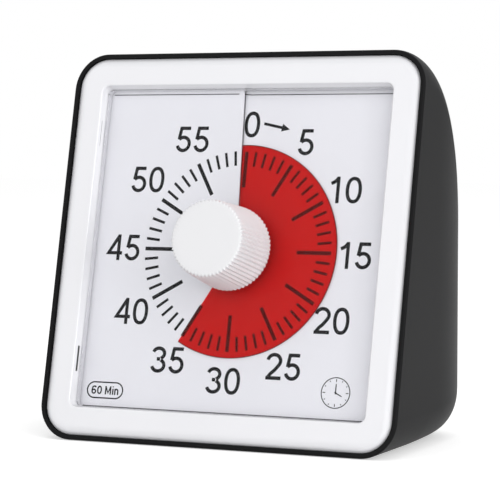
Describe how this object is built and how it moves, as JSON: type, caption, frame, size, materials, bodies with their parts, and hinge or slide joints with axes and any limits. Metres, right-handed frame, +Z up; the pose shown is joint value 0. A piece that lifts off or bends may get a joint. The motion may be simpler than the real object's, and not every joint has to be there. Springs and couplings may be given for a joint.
{
  "type": "visual countdown timer",
  "caption": "Tabletop timer with a leaning square white dial, a red disc that shows the minutes left, a fluted setting knob and a curved black housing.",
  "frame": {"origin": "on the surface it stands on, under the centre of its overall box", "axes": "+X to the right seen from the front, -Y out of the dial side, +Z up"},
  "size_m": [0.14, 0.0888, 0.1413],
  "materials": {
    "black_housing": "fine satin texture",
    "white_bezel": "polished",
    "clear_lens": "clear gloss acrylic",
    "white_card": "matt printed card",
    "red_film": "translucent film",
    "white_knob": "satin moulded",
    "white_plastic": "moulded",
    "steel": "plated",
    "spring_steel": "nickel plated",
    "gear_plastic": "moulded",
    "copper": "enamelled winding",
    "board_green": "printed board",
    "black_parts": "moulded",
    "cell_jacket": "plain jacket"
  },
  "bodies": {
    "housing": {"rear_housing": "black_housing", "front_bezel": "white_bezel", "window_lens": "clear_lens", "dial_card": "white_card", "second_arbor": "steel", "third_arbor": "steel", "rotor_arbor": "steel", "movement_plate": "black_parts", "movement_cover": "black_parts", "motor_stator": "steel", "motor_coil": "copper", "dial_frame": "white_plastic", "circuit_board": "board_green", "board_chip": "black_parts", "quartz_crystal": "spring_steel", "battery_cell": "cell_jacket", "battery_spring": "spring_steel", "spring_plate": "spring_steel", "battery_plate": "spring_steel", "switch_body": "black_parts", "sound_buzzer": "black_parts", "housing_screws": "steel", "frame_screws": "steel", "movement_screws": "steel"},
    "knob": {"knob": "white_knob", "spindle": "steel", "time_wheel": "gear_plastic", "clutch_washer": "spring_steel"},
    "disc": {"time_disc": "red_film", "disc_hub": "gear_plastic"},
    "second_wheel": {"second_wheel": "gear_plastic"},
    "third_wheel": {"third_wheel": "gear_plastic"},
    "rotor": {"rotor": "black_parts"},
    "battery_door": {"battery_door": "black_housing"},
    "sound_switch": {"switch_slider": "black_parts"}
  },
  "joints": [
    {"name": "set_time", "type": "hinge", "parent": "housing", "child": "knob", "pos_m": [0, -0.02213, 0.07064], "axis": [0, 0.9744, -0.225], "range_deg": [-210, 150]},
    {"name": "disc_thread", "type": "slide", "parent": "knob", "child": "disc", "axis": [0, -0.9744, 0.225], "range_m": [-0.00085, 0.00061]},
    {"name": "second_turn", "type": "hinge", "parent": "housing", "child": "second_wheel", "pos_m": [-0.01699, -0.02491, 0.05861], "axis": [0, 0.9744, -0.225], "range_deg": [-600.04, 840.04]},
    {"name": "third_turn", "type": "hinge", "parent": "housing", "child": "third_wheel", "pos_m": [-0.00243, -0.02572, 0.05508], "axis": [0, 0.9744, -0.225], "range_deg": [-3360.16, 2400.16]},
    {"name": "rotor_turn", "type": "hinge", "parent": "housing", "child": "rotor", "pos_m": [0.00958, -0.02495, 0.05844], "axis": [0, 0.9744, -0.225], "range_deg": [-9600.64, 13440.64]},
    {"name": "door_open", "type": "hinge", "parent": "housing", "child": "battery_door", "pos_m": [0, 0.04343, 0.0213], "axis": [-1, 0, 0], "range_deg": [0, 75]},
    {"name": "sound_slide", "type": "slide", "parent": "housing", "child": "sound_switch", "axis": [1, 0, 0], "range_m": [0, 0.003]}
  ],
  "couplings": [
    {"joint": "disc_thread", "follows": "set_time", "m_per_rad": 0.00023078},
    {"joint": "second_turn", "follows": "set_time", "ratio": -4},
    {"joint": "third_turn", "follows": "set_time", "ratio": 16},
    {"joint": "rotor_turn", "follows": "set_time", "ratio": -64}
  ]
}
